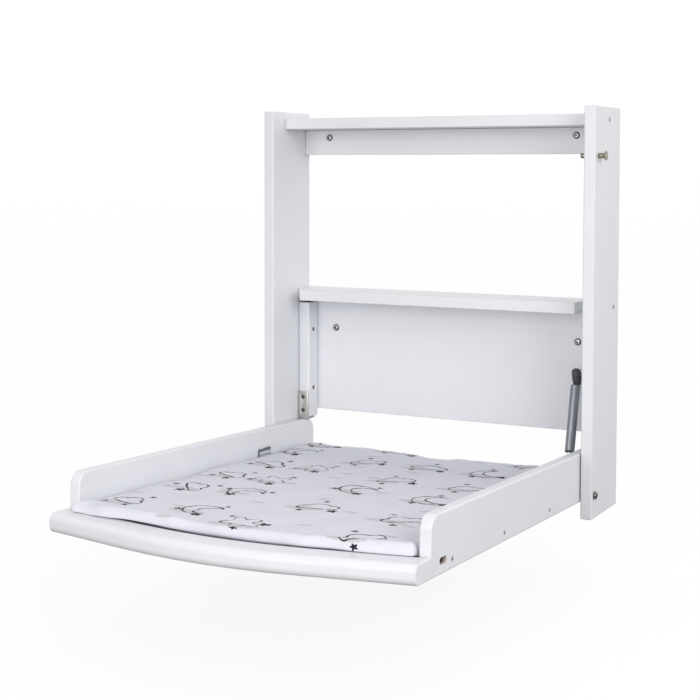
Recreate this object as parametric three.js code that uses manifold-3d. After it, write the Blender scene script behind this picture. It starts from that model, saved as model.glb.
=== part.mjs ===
// Wall-mounted folding changing station: a board frame with two shelves, and a padded tray on two pivot
// bolts, helped by one gas strut and held shut by a loose pin.
// Millimetres. +X right, +Y into the wall, +Z up. The wall is the plane y = 0, and the origin is the middle
// of the top rail's back face.
import * as THREE from "three";
import { mergeVertices } from "three/addons/utils/BufferGeometryUtils.js";
import Module from "manifold-3d";

const wasm = await Module();
wasm.setup();

// Clearances
const SEAM = 0.3; // between pieces that touch
const RUNNING_GAP = 0.3; // round a turning or sliding shaft

// Wall frame
const BOARD = 18;
const INNER_WIDTH = 536; // between the uprights
const FRAME_HEIGHT = 622;
const FRAME_DEPTH = 124;
const TOP_SHELF_DROP = 11; // its top below the tops of the uprights
const TOP_SHELF_DEPTH = 86.5;
const RAIL_HEIGHT = 42;
const RAIL_THICKNESS = 16;
const MID_SHELF_DROP = 299;
const MID_SHELF_DEPTH = 82;
const MID_SHELF_FRONT_LENGTH = 484; // the front stretch, between the folded tray's sides
const PANEL_THICKNESS = 8;
const PANEL_HEIGHT = 193.5;
const POST_WIDTH = 21;
const POST_GAP = 6.8; // under the mid shelf
const POST_FRONT = 40.5; // its front face from the wall
const PLATE_THICKNESS = 2;
const PLATE_HEIGHT = 48;
const PLATE_FOOT = 24; // depth of the leg under the post

// Tray, measured from its pivot: forward is away from the wall, up is square to its floor
const PIVOT_OUT = 112; // from the wall
const PIVOT_DROP = 586; // below the tops of the uprights
const TRAY_PITCH = 2.2; // degrees that the open tray rises towards its front
const TRAY_GAP = 1.6; // between a tray side and its upright
const SIDE_THICKNESS = 16;
const SIDE_HEIGHT = 75;
const SIDE_BELOW = 12; // pivot above the side's bottom edge
const SIDE_FRONT = 552; // under the top shelf when folded
const SIDE_TAIL = 94;
const SIDE_FRONT_ROUND = 18;
const SIDE_TAIL_ROUND = 22;
const FLOOR_THICKNESS = 16;
const FLOOR_TAIL = 82;
const FLOOR_NOTCH_WIDTH = 36; // cut from its right back corner, for the strut's foot
const FLOOR_NOTCH_AHEAD = -8;
const LIP_HEIGHT = 26;
const LIP_DEPTH = 42;
const LIP_BOW = 45; // how far its middle stands ahead of its ends
const LIP_WAVE = 400; // half the wavelength of the bow's cosine
const LIP_ROUND = 10;
const LIP_STEPS = 24;
const LIP_DOWEL = { radius: 4, chamfer: 0.8, inLip: 24, inSide: 20 };

// Mat
const MAT_THICKNESS = 13;
const MAT_EDGE_THICKNESS = 9.5; // where its front corners lie on the lip
const MAT_EDGE_ROUND = 9;
const MAT_CORNER = 24; // rounding of its corners, seen from above
const MAT_CLIMB = 60; // stretch before its front edge that follows the lip
const MAT_CLIMB_ROWS = 8;
const MAT_SIDE_GAP = 2.5;
const MAT_DRAWN_IN = 2; // how far its sides curve in between the corners
const MAT_FRONT = SIDE_FRONT + 21; // from the pivot
const MAT_TAIL = 80;
const MAT_BOW = 10; // how far the middle of its front edge stands ahead of the corners
const MAT_RAMP = 22; // length over which it climbs onto the lip
const MAT_LEAD = 7; // from the top of that climb to the lip
const MAT_STRUT_SPACE = 40; // how far its right edge stands back from the tray side beside the strut
const MAT_STRUT_REACH = -6; // that recess ahead of the pivot
const MAT_STRUT_BLEND = 30;

// Gas strut, in a plane square to X
const STRUT_FROM_POST = 17; // its axis from the inner face of the right post
const STRUT_TOP_OUT = 32.9; // upper ball from the wall
const STRUT_TOP_RISE = 169; // upper ball above the pivot
const STRUT_FOOT_BACK = 40; // lower ball behind the pivot, along the tray
const STRUT_FOOT_UP = 19; // lower ball above the pivot, square to the tray
const TUBE_RADIUS = 7.5;
const TUBE_WALL = 1;
const TUBE_TOP = 14; // from the upper ball
const TUBE_END = 119;
const GLAND_LENGTH = 9;
const GLAND_COLLAR = 3;
const ROD_RADIUS = 3;
const ROD_TOP = 24;
const PISTON_LENGTH = 8;
const BALL_RADIUS = 5;
const SOCKET_RADIUS = 7.5;
const SOCKET_ABOVE = 8; // socket beyond the ball, away from the strut
const SOCKET_BELOW = 14; // socket along the strut

// Pivots and lock
const BOLT_RADIUS = 4;
const BOLT_HEAD_RADIUS = 5.8;
const BOLT_HEAD_HEIGHT = 4;
const BOLT_KEY_RADIUS = 3;
const BOLT_IN_SIDE = 13;
const BUSH_RADIUS = 6;
const WASHER_RADIUS = 9;
const PIN_RADIUS = 4;
const PIN_HEAD_RADIUS = 7.2;
const PIN_HEAD_HEIGHT = 6; // flared, with a short rim
const PIN_RIM = 1;
const PIN_LENGTH = 34.3; // under its head
const PIN_INSIDE = 10; // its tip past the upright's inner face
const LOCK_REACH = 511; // pin above the pivot
const LOCK_UP = 4.5; // pin nearer to the wall than the pivot, and lock slot above it on the tray
const LOCK_SLOT_RADIUS = 4.3;
const LOCK_SLOT_LENGTH = 12; // between the middles of its round ends, the near one at the pin's reach

// Screws
const SCREW_SIDES = 12;
const ROUND_SIDES = 24;
const BOARD_SCREW = { head: 4, sink: 3, shank: 2.5, key: 1.6, length: 48 };
const POST_SCREW = { head: 3.5, sink: 2.5, shank: 2, key: 1.4, length: 33 };
const PLATE_SCREW = { head: 3.5, sink: 1.8, shank: 2, key: 1.4, length: 22 };
const SIDE_SCREW = { head: 3.5, sink: 2.5, shank: 2.2, key: 1.4, length: 42 };
const WALL_SCREW = { head: 4, sink: 2.5, shank: 2.5, key: 1.8 };
const WASHER_CUP = { radius: 5.6, height: 2.6, rim: 0.5 };
const TOP_SCREW_OUT = 56; // from the wall
const MID_SCREW_OUT = 26;
const POST_SCREW_OUT = 25;
const POST_SCREW_SHARES = [0.262, 0.753]; // of the way down the post
const PLATE_SCREW_RISES = [15, 38]; // above the plate's foot
const RAIL_SCREW_ACROSS = 220; // from the middle
const RAIL_SCREW_DROP = 42;
const PANEL_SCREW_ACROSS = 217;
const PANEL_SCREW_SHIFT = 6; // both to the right
const PANEL_SCREW_BELOW = 51; // under the mid shelf
const SIDE_SCREW_SHARES = [0.258, 0.575, 0.886]; // of the way from the pivot to the side's front end
const SIDE_SCREWS_UP = 0.5; // above the pivot

// Sizes that follow
const INNER = INNER_WIDTH / 2;
const OUTER = INNER + BOARD;
const TOP = TOP_SHELF_DROP + BOARD + SEAM + RAIL_HEIGHT / 2; // tops of the uprights above the origin
const TOP_SHELF_TOP = TOP - TOP_SHELF_DROP;
const RAIL_TOP = RAIL_HEIGHT / 2;
const MID_SHELF_TOP = TOP - MID_SHELF_DROP;
const UNDER_MID_SHELF = MID_SHELF_TOP - BOARD - SEAM;
const POST_INNER = INNER - SEAM - POST_WIDTH;
const PITCH = THREE.MathUtils.degToRad(TRAY_PITCH);
const PIVOT = new THREE.Vector3(0, -PIVOT_OUT, TOP - PIVOT_DROP);
const SIDE_TOP = SIDE_HEIGHT - SIDE_BELOW;
const TRAY_OUTER = INNER - TRAY_GAP;
const TRAY_INNER = TRAY_OUTER - SIDE_THICKNESS;
const FLOOR_TOP = FLOOR_THICKNESS / 2;
const LIP_TOP = LIP_HEIGHT - SIDE_BELOW;
const STRUT_X = POST_INNER - STRUT_FROM_POST;
const LOCK_PLACE = new THREE.Vector3(INNER, LOCK_UP - PIVOT_OUT, PIVOT.z + LOCK_REACH);

// The tray side's top edge meets the underside of the stop plate's foot at the plate's front.
const plateFront = POST_FRONT + SEAM + PLATE_THICKNESS;
const PLATE_BOTTOM =
  PIVOT.z + (SIDE_TOP + SEAM) / Math.cos(PITCH) - (PIVOT_OUT - plateFront) * Math.tan(PITCH);
const POST_BOTTOM = PLATE_BOTTOM + PLATE_THICKNESS + SEAM;

// Materials
const finish = (color, roughness, metalness = 0) =>
  new THREE.MeshStandardMaterial({ color, roughness, metalness });
const WHITE_LACQUER = finish(0xf2f2f5, 0.35);
const ZINC = finish(0xa9aaa2, 0.4, 1);
const STEEL = finish(0xb9bbbe, 0.3, 1);
const GREY_TUBE = finish(0x7d848b, 0.3, 0.8);
const DARK_PLASTIC = finish(0x3c4145, 0.5);
const CHROME = finish(0xd5d7da, 0.12, 1);
const COTTON = finish(0xeeeef4, 0.9);

// Solids: geometry to a closed body and back, for the cuts
function bodyOf(geometry) {
  const plain = new THREE.BufferGeometry().setAttribute("position", geometry.getAttribute("position"));
  if (geometry.index) plain.setIndex(geometry.index);
  const merged = mergeVertices(plain, 1e-3);
  const corners = merged.index.array;
  const faces = [];
  for (let i = 0; i < corners.length; i += 3) {
    const [a, b, c] = corners.slice(i, i + 3);
    if (a !== b && b !== c && c !== a) faces.push(a, b, c);
  }
  const vertProperties = merged.getAttribute("position").array;
  return new wasm.Manifold(new wasm.Mesh({ numProp: 3, vertProperties, triVerts: new Uint32Array(faces) }));
}

function geometryOf(body) {
  const mesh = body.getMesh();
  return new THREE.BufferGeometry()
    .setAttribute("position", new THREE.BufferAttribute(mesh.vertProperties, mesh.numProp))
    .setIndex(new THREE.BufferAttribute(mesh.triVerts, 1));
}

const cut = (geometry, tools) =>
  geometryOf(tools.reduce((body, tool) => body.subtract(bodyOf(tool)), bodyOf(geometry)));

// Extrusions from a drawn outline, each along one direction of the frame
const AXIS = {
  x: new THREE.Vector3(1, 0, 0),
  back: new THREE.Vector3(0, 1, 0),
  front: new THREE.Vector3(0, -1, 0),
  up: new THREE.Vector3(0, 0, 1),
  down: new THREE.Vector3(0, 0, -1),
  left: new THREE.Vector3(-1, 0, 0),
};

function extruded(shape, depth, across, along, out) {
  const geometry = new THREE.ExtrudeGeometry(shape, { depth, bevelEnabled: false, curveSegments: 6 });
  return geometry.applyMatrix4(new THREE.Matrix4().makeBasis(across, along, out));
}

// drawn as (forward, height), spanning low to high across the object
const sideways = (shape, low, high) =>
  extruded(shape, high - low, AXIS.front, AXIS.up, AXIS.left).translate(high, 0, 0);

// drawn as (x, forward), hanging down from its top face
const flat = (shape, top, thickness) =>
  extruded(shape, thickness, AXIS.x, AXIS.front, AXIS.down).translate(0, 0, top);

// drawn as (x, height), standing forward from the plane at that distance from the wall
const upright = (shape, from, thickness) =>
  extruded(shape, thickness, AXIS.x, AXIS.up, AXIS.front).translate(0, -from, 0);

const outline = (points) => new THREE.Shape(points.map(([a, b]) => new THREE.Vector2(a, b)));

const rectangle = (a0, b0, a1, b1) =>
  outline([
    [a0, b0],
    [a1, b0],
    [a1, b1],
    [a0, b1],
  ]);

// Turned pieces: a profile of [radius, along] from end to end, pointed along a direction
function turned(profile, at, direction, sides = ROUND_SIDES) {
  const points = profile.map(([radius, along]) => new THREE.Vector2(radius, along));
  const geometry = new THREE.LatheGeometry(points, sides);
  const turn = new THREE.Quaternion().setFromUnitVectors(AXIS.back, direction);
  return geometry.applyQuaternion(turn).translate(at.x, at.y, at.z);
}

const rod = (radius, from, to, at, direction, sides) =>
  turned(
    [
      [0, from],
      [radius, from],
      [radius, to],
      [0, to],
    ],
    at,
    direction,
    sides,
  );

const tube = (inner, outer, from, to, at, direction) =>
  turned(
    [
      [inner, from],
      [outer, from],
      [outer, to],
      [inner, to],
      [inner, from],
    ],
    at,
    direction,
  );

// Countersunk screws: head flush at a point, shank running inwards, and the same profile grown as their hole
function screwGeometry({ head, sink, shank, key, length }, at, inward) {
  const profile = [
    [0, key * 0.9],
    [key, 0],
    [head, 0],
    [shank, sink],
    [shank, length - shank],
    [0, length],
  ];
  return turned(profile, at, inward, SCREW_SIDES);
}

function screwHole({ head, sink, shank, length }, at, inward) {
  const mouth = 1;
  const profile = [
    [0, -mouth],
    [head + SEAM, -mouth],
    [head + SEAM, SEAM],
    [shank + SEAM, sink + SEAM],
    [shank + SEAM, length + SEAM],
    [0, length + SEAM],
  ];
  return turned(profile, at, inward, SCREW_SIDES);
}

// The scene graph
const station = new THREE.Group();
const tray = new THREE.Group();
tray.position.copy(PIVOT);
tray.rotation.x = -PITCH;
station.add(tray);

function add(group, name, material, geometry) {
  const mesh = new THREE.Mesh(geometry, material);
  mesh.name = name;
  group.add(mesh);
}

const SIDES = [
  ["left", -1],
  ["right", 1],
];
const inwards = (side) => new THREE.Vector3(-side, 0, 0);

// Fasteners of the wall frame, by side
function frameScrews(side) {
  const outer = side * OUTER;
  const postFace = side * POST_INNER;
  const plateX = side * (INNER - SEAM - POST_WIDTH / 2);
  return {
    topShelf: [
      BOARD_SCREW,
      new THREE.Vector3(outer, -TOP_SCREW_OUT, TOP_SHELF_TOP - BOARD / 2),
      inwards(side),
    ],
    midShelf: [
      BOARD_SCREW,
      new THREE.Vector3(outer, -MID_SCREW_OUT, MID_SHELF_TOP - BOARD / 2),
      inwards(side),
    ],
    post: POST_SCREW_SHARES.map((share) => [
      POST_SCREW,
      new THREE.Vector3(postFace, -POST_SCREW_OUT, THREE.MathUtils.lerp(UNDER_MID_SHELF, POST_BOTTOM, share)),
      inwards(-side),
    ]),
    plate: PLATE_SCREW_RISES.map((rise) => [
      PLATE_SCREW,
      new THREE.Vector3(plateX, -plateFront, PLATE_BOTTOM + rise),
      AXIS.back,
    ]),
  };
}

const holesFor = (screws) => screws.map((screw) => screwHole(...screw));

// Wall screws sit in cup washers and run to the board's back face
const wallScrews = {
  rail: (side) => ({
    at: new THREE.Vector3(side * RAIL_SCREW_ACROSS, -RAIL_THICKNESS, TOP - RAIL_SCREW_DROP),
    depth: RAIL_THICKNESS,
  }),
  panel: (side) => ({
    at: new THREE.Vector3(
      side * PANEL_SCREW_ACROSS + PANEL_SCREW_SHIFT,
      -PANEL_THICKNESS,
      UNDER_MID_SHELF - PANEL_SCREW_BELOW,
    ),
    depth: PANEL_THICKNESS,
  }),
};

function addWallScrew(name, { at, depth }) {
  const { radius, height, rim } = WASHER_CUP;
  const { head, sink, shank } = WALL_SCREW;
  const seat = at.clone().add(new THREE.Vector3(0, -SEAM, 0));
  const gap = RUNNING_GAP;
  const cup = [
    [shank + gap, 0],
    [radius, 0],
    [radius - rim, height],
    [head + gap, height],
    [shank + gap, height - sink],
    [shank + gap, 0],
  ];
  add(station, name + "_washer", ZINC, turned(cup, seat, AXIS.front, SCREW_SIDES));
  const crown = seat.clone().add(new THREE.Vector3(0, -height - gap, 0));
  const length = depth + height + gap;
  add(station, name, STEEL, screwGeometry({ ...WALL_SCREW, length }, crown, AXIS.back));
}

const wallHole = ({ at, depth }) =>
  rod(WALL_SCREW.shank + SEAM, -1, depth + 1, at, AXIS.back, SCREW_SIDES);

// Uprights, with their pivot bores and the right one's pin bore
function addUpright(name, side) {
  const low = side > 0 ? INNER : -OUTER;
  const board = sideways(rectangle(0, TOP - FRAME_HEIGHT, FRAME_DEPTH, TOP), low, low + BOARD);
  const { topShelf, midShelf, post } = frameScrews(side);
  const through = (radius, at) => rod(radius, -1, BOARD + 1, at.clone().setX(low), AXIS.x);
  const cuts = holesFor([topShelf, midShelf, ...post]);
  cuts.push(through(BUSH_RADIUS + SEAM, PIVOT));
  if (side > 0) cuts.push(through(PIN_RADIUS + RUNNING_GAP, LOCK_PLACE));
  add(station, name + "_upright", WHITE_LACQUER, cut(board, cuts));
}

// Boards that span the uprights
function addShelves() {
  const half = INNER - SEAM;
  const front = MID_SHELF_FRONT_LENGTH / 2;
  const screws = SIDES.map(([, side]) => frameScrews(side));
  const top = flat(rectangle(-half, 0, half, TOP_SHELF_DEPTH), TOP_SHELF_TOP, BOARD);
  add(station, "top_shelf", WHITE_LACQUER, cut(top, holesFor(screws.map((s) => s.topShelf))));
  const notched = outline([
    [-half, 0],
    [half, 0],
    [half, POST_FRONT],
    [front, POST_FRONT],
    [front, MID_SHELF_DEPTH],
    [-front, MID_SHELF_DEPTH],
    [-front, POST_FRONT],
    [-half, POST_FRONT],
  ]);
  const mid = flat(notched, MID_SHELF_TOP, BOARD);
  add(station, "mid_shelf", WHITE_LACQUER, cut(mid, holesFor(screws.map((s) => s.midShelf))));
}

function addBackBoards() {
  const half = INNER - SEAM;
  const rail = upright(rectangle(-half, -RAIL_TOP, half, RAIL_TOP), 0, RAIL_THICKNESS);
  add(station, "top_rail", WHITE_LACQUER, cut(rail, SIDES.map(([, s]) => wallHole(wallScrews.rail(s)))));
  const panelShape = rectangle(-half, UNDER_MID_SHELF - PANEL_HEIGHT, half, UNDER_MID_SHELF);
  const panel = upright(panelShape, 0, PANEL_THICKNESS);
  add(station, "back_panel", WHITE_LACQUER, cut(panel, SIDES.map(([, s]) => wallHole(wallScrews.panel(s)))));
}

// Posts, and the stop plates that wrap their feet
function addPost(name, side) {
  const low = side > 0 ? POST_INNER : -POST_INNER - POST_WIDTH;
  const shape = rectangle(PANEL_THICKNESS + SEAM, POST_BOTTOM, POST_FRONT, UNDER_MID_SHELF - POST_GAP);
  const { post, plate } = frameScrews(side);
  const cuts = holesFor([...post, ...plate]);
  if (side > 0) cuts.push(studHole());
  add(station, name + "_post", WHITE_LACQUER, cut(sideways(shape, low, low + POST_WIDTH), cuts));
  const legBack = POST_FRONT + SEAM;
  const footTop = PLATE_BOTTOM + PLATE_THICKNESS;
  const bent = outline([
    [plateFront - PLATE_FOOT, PLATE_BOTTOM],
    [plateFront, PLATE_BOTTOM],
    [plateFront, PLATE_BOTTOM + PLATE_HEIGHT],
    [legBack, PLATE_BOTTOM + PLATE_HEIGHT],
    [legBack, footTop],
    [plateFront - PLATE_FOOT, footTop],
  ]);
  const plateBody = sideways(bent, low + SEAM, low + POST_WIDTH - SEAM);
  add(station, name + "_stop_plate", ZINC, cut(plateBody, holesFor(plate)));
}

function addFrameScrews(name, side) {
  const { topShelf, midShelf, post, plate } = frameScrews(side);
  add(station, name + "_top_shelf_screw", ZINC, screwGeometry(...topShelf));
  add(station, name + "_mid_shelf_screw", ZINC, screwGeometry(...midShelf));
  post.forEach((screw, i) => add(station, `${name}_post_screw_${i + 1}`, ZINC, screwGeometry(...screw)));
  plate.forEach((screw, i) => add(station, `${name}_plate_screw_${i + 1}`, ZINC, screwGeometry(...screw)));
  addWallScrew(name + "_rail_wall_screw", wallScrews.rail(side));
  addWallScrew(name + "_panel_wall_screw", wallScrews.panel(side));
}

// Tray: everything from here to the mat is drawn from the pivot, square to the tray's floor
const lipBow = (x) => {
  const ends = Math.cos((Math.PI * TRAY_OUTER) / LIP_WAVE);
  return (LIP_BOW * (Math.cos((Math.PI * x) / LIP_WAVE) - ends)) / (1 - ends);
};
const lipBack = (x) => SIDE_FRONT + SEAM + lipBow(x);
const acrossTray = (half, step) => THREE.MathUtils.lerp(-half, half, step / LIP_STEPS);
const lipStations = (half) => Array.from({ length: LIP_STEPS + 1 }, (_, step) => acrossTray(half, step));

const sideScrews = (side) =>
  SIDE_SCREW_SHARES.map((share) => [
    SIDE_SCREW,
    new THREE.Vector3(side * TRAY_OUTER, -share * SIDE_FRONT, SIDE_SCREWS_UP),
    inwards(side),
  ]);

// A dowel across the joint of a tray side and the lip, wider by a clearance where it cuts its own hole
function lipDowel(side, clearance) {
  const { radius, chamfer, inLip, inSide } = LIP_DOWEL;
  const x = side * (TRAY_OUTER - SIDE_THICKNESS / 2);
  const at = new THREE.Vector3(x, -SIDE_FRONT, LIP_TOP - LIP_HEIGHT / 2);
  const [start, end] = [-inLip - clearance, inSide + clearance];
  const profile = [
    [0, start],
    [radius + clearance - chamfer, start],
    [radius + clearance, start + chamfer],
    [radius + clearance, end - chamfer],
    [radius + clearance - chamfer, end],
    [0, end],
  ];
  return turned(profile, at, AXIS.back);
}

function lockSlot() {
  const shape = new THREE.Shape();
  shape.absarc(LOCK_REACH, LOCK_UP, LOCK_SLOT_RADIUS, Math.PI / 2, (Math.PI * 3) / 2);
  shape.absarc(LOCK_REACH + LOCK_SLOT_LENGTH, LOCK_UP, LOCK_SLOT_RADIUS, -Math.PI / 2, Math.PI / 2);
  return sideways(shape, TRAY_INNER - 1, TRAY_OUTER + 1);
}

function addTraySide(name, side) {
  const low = side > 0 ? TRAY_INNER : -TRAY_OUTER;
  const shape = new THREE.Shape();
  shape.moveTo(-SIDE_TAIL, -SIDE_BELOW);
  shape.lineTo(SIDE_FRONT, -SIDE_BELOW);
  shape.lineTo(SIDE_FRONT, SIDE_TOP - SIDE_FRONT_ROUND);
  shape.absarc(SIDE_FRONT - SIDE_FRONT_ROUND, SIDE_TOP - SIDE_FRONT_ROUND, SIDE_FRONT_ROUND, 0, Math.PI / 2);
  const tail = SIDE_TAIL_ROUND - SIDE_TAIL;
  shape.absarc(tail, SIDE_TOP - SIDE_TAIL_ROUND, SIDE_TAIL_ROUND, Math.PI / 2, Math.PI);
  const cuts = holesFor(sideScrews(side));
  cuts.push(lipDowel(side, SEAM));
  const outer = new THREE.Vector3(side * TRAY_OUTER, 0, 0);
  cuts.push(rod(BOLT_RADIUS + SEAM, -1, BOLT_IN_SIDE + SEAM, outer, inwards(side)));
  if (side > 0) {
    cuts.push(lockSlot());
    cuts.push(mountHole());
  }
  const board = sideways(shape, low, low + SIDE_THICKNESS);
  add(tray, name + "_tray_side", WHITE_LACQUER, cut(board, cuts));
  sideScrews(side).forEach((screw, i) =>
    add(tray, `${name}_side_screw_${i + 1}`, ZINC, screwGeometry(...screw)),
  );
  add(tray, name + "_lip_dowel", WHITE_LACQUER, lipDowel(side, 0));
}

function addFloor() {
  const half = TRAY_INNER - SEAM;
  const front = lipStations(half).map((x) => [x, lipBack(x) - SEAM]);
  const notch = half - FLOOR_NOTCH_WIDTH;
  const shape = outline([
    [-half, -FLOOR_TAIL],
    [notch, -FLOOR_TAIL],
    [notch, FLOOR_NOTCH_AHEAD],
    [half, FLOOR_NOTCH_AHEAD],
    ...front.reverse(),
  ]);
  const cuts = SIDES.flatMap(([, side]) => holesFor(sideScrews(side)));
  add(tray, "tray_floor", WHITE_LACQUER, cut(flat(shape, FLOOR_TOP, FLOOR_THICKNESS), cuts));
}

// A closed body through rings of equal length
function lofted(rings) {
  const count = rings[0].length;
  const points = rings.flat();
  const faces = [];
  for (let ring = 0; ring + 1 < rings.length; ring++) {
    for (let i = 0; i < count; i++) {
      const [a, b] = [ring * count + i, ring * count + ((i + 1) % count)];
      faces.push(a, b + count, b, a, a + count, b + count);
    }
  }
  const last = points.length - count;
  for (let i = 1; i + 1 < count; i++) {
    faces.push(0, i, i + 1);
    faces.push(last, last + i + 1, last + i);
  }
  return new THREE.BufferGeometry().setFromPoints(points).setIndex(faces);
}

// The lip: a rail with a round nose, carried sideways along the bow
function addLip() {
  const section = new THREE.Shape();
  const nose = LIP_DEPTH - LIP_ROUND;
  const bottom = LIP_TOP - LIP_HEIGHT;
  section.moveTo(0, bottom);
  section.lineTo(nose, bottom);
  section.absarc(nose, bottom + LIP_ROUND, LIP_ROUND, -Math.PI / 2, 0);
  section.absarc(nose, LIP_TOP - LIP_ROUND, LIP_ROUND, 0, Math.PI / 2);
  section.lineTo(0, LIP_TOP);
  const profile = section.getPoints(5);
  const rings = lipStations(TRAY_OUTER).map((x) =>
    profile.map((point) => new THREE.Vector3(x, -lipBack(x) - point.x, point.y)),
  );
  const cuts = SIDES.map(([, side]) => lipDowel(side, SEAM));
  add(tray, "front_lip", WHITE_LACQUER, cut(lofted(rings), cuts));
}

// The mat: a crowned pad with drawn-in sides, a recess beside the strut, and front corners on the lip
const smooth = (t) => THREE.MathUtils.smoothstep(t, 0, 1);

// Shares of a span, close together near its ends, where the pad turns over
function padStations(length, steps) {
  const near = [0, 0.1, 0.4, 1, 2].map((share) => (share * MAT_EDGE_ROUND) / length);
  const [first, last] = [near.at(-1), 1 - near.at(-1)];
  const between = (_, i) => THREE.MathUtils.lerp(first, last, (i + 1) / steps);
  const middle = Array.from({ length: steps - 1 }, between);
  return [...near, ...middle, ...near.map((share) => 1 - share).reverse()];
}

function matEdges(ahead) {
  const half = TRAY_INNER - MAT_SIDE_GAP;
  const along = (ahead + MAT_TAIL) / (MAT_FRONT + MAT_TAIL);
  const drawn = MAT_DRAWN_IN * Math.sin(Math.PI * along);
  const fromEnd = Math.min(ahead + MAT_TAIL, MAT_FRONT - ahead, MAT_CORNER);
  const corner = MAT_CORNER - Math.sqrt(MAT_CORNER ** 2 - (MAT_CORNER - fromEnd) ** 2);
  const beside = 1 - smooth((ahead - MAT_STRUT_REACH) / MAT_STRUT_BLEND);
  return [-half + drawn + corner, half - drawn - corner - MAT_STRUT_SPACE * beside];
}

// How far the pad is lifted off the floor, to lie on the lip
function matLift(x, ahead) {
  const climb = smooth((ahead - lipBack(x) + MAT_LEAD + MAT_RAMP) / MAT_RAMP);
  return (LIP_TOP - FLOOR_TOP) * climb;
}

function addMat() {
  const length = MAT_FRONT + MAT_TAIL;
  const climb = (_, i) => MAT_FRONT - MAT_CLIMB * (1 - i / MAT_CLIMB_ROWS);
  const climbing = Array.from({ length: MAT_CLIMB_ROWS }, climb);
  const rows = padStations(length, 12)
    .map((share) => share * length - MAT_TAIL)
    .filter((ahead) => ahead < climbing[0] - MAT_CLIMB / 4 || ahead > MAT_FRONT - 2.5 * MAT_EDGE_ROUND)
    .concat(climbing.slice(0, -2))
    .sort((a, b) => a - b);
  const columns = padStations(2 * TRAY_INNER, 10);
  const round = (share) => Math.sqrt(1 - (1 - Math.min(share, 1)) ** 2);
  const points = [];
  const index = (row, column, under) => (row * columns.length + column) * 2 + under;
  for (const row of rows) {
    const [left, right] = matEdges(row);
    for (const share of columns) {
      const x = THREE.MathUtils.lerp(left, right, share);
      const inside = Math.min(row + MAT_TAIL, MAT_FRONT - row, x - left, right - x);
      const swell = round(inside / MAT_EDGE_ROUND);
      const ahead = row + MAT_BOW * smooth(row / MAT_FRONT) * Math.sin(Math.PI * share);
      const lift = matLift(x, ahead);
      const onLip = lift / (LIP_TOP - FLOOR_TOP);
      const thickness = THREE.MathUtils.lerp(MAT_THICKNESS, MAT_EDGE_THICKNESS, onLip);
      const seat = FLOOR_TOP + SEAM + lift;
      points.push(new THREE.Vector3(x, -ahead, seat + (thickness / 2) * (1 + swell)));
      points.push(new THREE.Vector3(x, -ahead, seat + (thickness / 2) * (1 - swell)));
    }
  }
  const faces = [];
  for (let row = 0; row + 1 < rows.length; row++) {
    for (let column = 0; column + 1 < columns.length; column++) {
      for (const under of [0, 1]) {
        const [a, b] = [index(row, column, under), index(row, column + 1, under)];
        const [c, d] = [index(row + 1, column + 1, under), index(row + 1, column, under)];
        faces.push(...(under ? [a, b, c, a, c, d] : [a, c, b, a, d, c]));
      }
    }
  }
  const pad = new THREE.BufferGeometry().setFromPoints(points).setIndex(faces);
  add(tray, "changing_mat", COTTON, geometryOf(bodyOf(pad)));
}

// Pivots: a bush in the upright, and a bolt that turns in it and is fixed in the tray side
function addPivot(name, side) {
  const bushEnd = new THREE.Vector3(side * OUTER, PIVOT.y, PIVOT.z);
  const bush = tube(BOLT_RADIUS + RUNNING_GAP, BUSH_RADIUS, 0, BOARD, bushEnd, inwards(side));
  add(station, name + "_pivot_bush", DARK_PLASTIC, bush);
  const face = new THREE.Vector3(side * (OUTER + RUNNING_GAP), 0, 0);
  const reach = RUNNING_GAP + BOARD + TRAY_GAP + BOLT_IN_SIDE;
  const bolt = [
    [0, BOLT_HEAD_HEIGHT - BOLT_KEY_RADIUS * 0.8],
    [BOLT_KEY_RADIUS, BOLT_HEAD_HEIGHT - BOLT_KEY_RADIUS * 0.8],
    [BOLT_KEY_RADIUS, BOLT_HEAD_HEIGHT],
    [BOLT_HEAD_RADIUS * 0.75, BOLT_HEAD_HEIGHT],
    [BOLT_HEAD_RADIUS, BOLT_HEAD_HEIGHT * 0.4],
    [BOLT_HEAD_RADIUS, 0],
    [BOLT_RADIUS, 0],
    [BOLT_RADIUS, -reach],
    [0, -reach],
  ];
  add(tray, name + "_pivot_bolt", STEEL, turned(bolt.reverse(), face, inwards(-side)));
  const inside = new THREE.Vector3(side * TRAY_OUTER, 0, 0);
  const thickness = TRAY_GAP - RUNNING_GAP;
  const washer = tube(BOLT_RADIUS + SEAM, WASHER_RADIUS, SEAM, thickness, inside, inwards(-side));
  add(tray, name + "_pivot_washer", ZINC, washer);
}

// Gas strut: its length and slope follow from where its two balls sit
const strutTop = new THREE.Vector3(STRUT_X, -STRUT_TOP_OUT, PIVOT.z + STRUT_TOP_RISE);
const strutFoot = new THREE.Vector3(STRUT_X, STRUT_FOOT_BACK, STRUT_FOOT_UP)
  .applyAxisAngle(AXIS.x, -PITCH)
  .add(PIVOT);
const STRUT_LENGTH = strutTop.distanceTo(strutFoot);
const strut = new THREE.Group();
strut.position.copy(strutTop);
strut.rotation.x = Math.atan2(strutFoot.y - strutTop.y, strutTop.z - strutFoot.z);
station.add(strut);
const CENTRE = new THREE.Vector3();

const arc = (radius, from, to, steps = 6) =>
  Array.from({ length: steps + 1 }, (_, i) => {
    const angle = THREE.MathUtils.degToRad(THREE.MathUtils.lerp(from, to, i / steps));
    return [radius * Math.cos(angle), radius * Math.sin(angle)];
  });

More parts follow.
